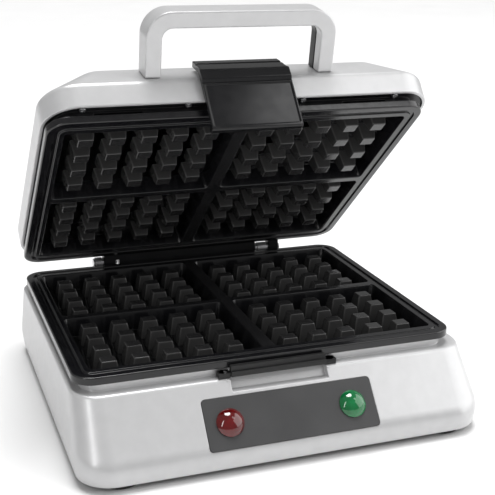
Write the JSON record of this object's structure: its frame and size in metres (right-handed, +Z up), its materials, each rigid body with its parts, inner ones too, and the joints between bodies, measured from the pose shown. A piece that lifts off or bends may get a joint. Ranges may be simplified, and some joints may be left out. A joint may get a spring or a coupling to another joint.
{
  "type": "waffle maker",
  "caption": "Waffle maker with a sloped-front base, a hinged lid carrying a second studded cooking plate, an arched handle, a snap latch and indicator lamps.",
  "frame": {"origin": "on the table, under the middle of the open machine's bounding box; the underside of the feet is Z = 0", "axes": "+X across the machine to the user's right, +Y to the rear, +Z up; the front is -Y"},
  "size_m": [0.2976, 0.2864, 0.2939],
  "materials": {
    "silver_plastic": "satin silver paint",
    "black_plastic": "fine satin moulding",
    "nonstick": "glossy black non-stick coating on cast aluminium",
    "steel": "plated",
    "spring_steel": "bright",
    "heater_sheath": "heat-darkened",
    "reflector_metal": "mill",
    "hinge_metal": "die-cast",
    "panel_grey": "satin",
    "red_lens": "translucent",
    "green_lens": "translucent",
    "bulb_glass": "clear",
    "socket_plastic": "plain",
    "ceramic": "glazed",
    "wire_sleeve": "silicone sleeve",
    "foot_rubber": "matt"
  },
  "bodies": {
    "base": {"lower_housing": "silver_plastic", "bottom_cover": "black_plastic", "rubber_feet": "foot_rubber", "foot_screws": "steel", "cover_screws": "steel", "plate_tie_screws": "steel", "lower_plate": "nonstick", "lower_plate_studs": "nonstick", "lower_heating_element": "heater_sheath", "lower_reflector": "reflector_metal", "control_panel": "panel_grey", "red_lamp_lens": "red_lens", "green_lamp_lens": "green_lens", "lamp_sockets": "socket_plastic", "lamp_bulbs": "bulb_glass", "catch_bar": "black_plastic", "catch_screws": "steel", "hinge_brackets": "hinge_metal", "hinge_pins": "steel", "hinge_clips": "spring_steel", "friction_washers": "spring_steel", "bracket_screws": "steel", "cord_gland": "black_plastic", "terminal_block": "socket_plastic", "terminal_screws": "steel", "thermostat": "ceramic", "thermal_fuse": "steel", "base_wiring": "wire_sleeve"},
    "lid": {"lid_cover": "silver_plastic", "lid_frame": "black_plastic", "lid_frame_screws": "steel", "upper_plate": "nonstick", "upper_plate_studs": "nonstick", "upper_heating_element": "heater_sheath", "upper_reflector": "reflector_metal", "upper_plate_straps": "steel", "upper_plate_screws": "steel", "strap_rivets": "steel", "handle_front_shell": "silver_plastic", "handle_rear_shell": "black_plastic", "handle_screws": "steel", "latch_pin": "steel", "latch_spring": "spring_steel"},
    "latch": {"latch": "black_plastic"}
  },
  "joints": [
    {"name": "lid_hinge", "type": "hinge", "parent": "base", "child": "lid", "pos_m": [0.007, 0.12672, 0.065], "axis": [-1, 0, 0], "range_deg": [-41.7, 63.3]},
    {"name": "latch_pivot", "type": "hinge", "parent": "lid", "child": "latch", "pos_m": [-0.003, -0.02468, 0.24141], "axis": [-1, 0, 0], "range_deg": [0, 8], "stiffness_Nm_per_rad": 0.8, "springref_deg": -14.32}
  ]
}
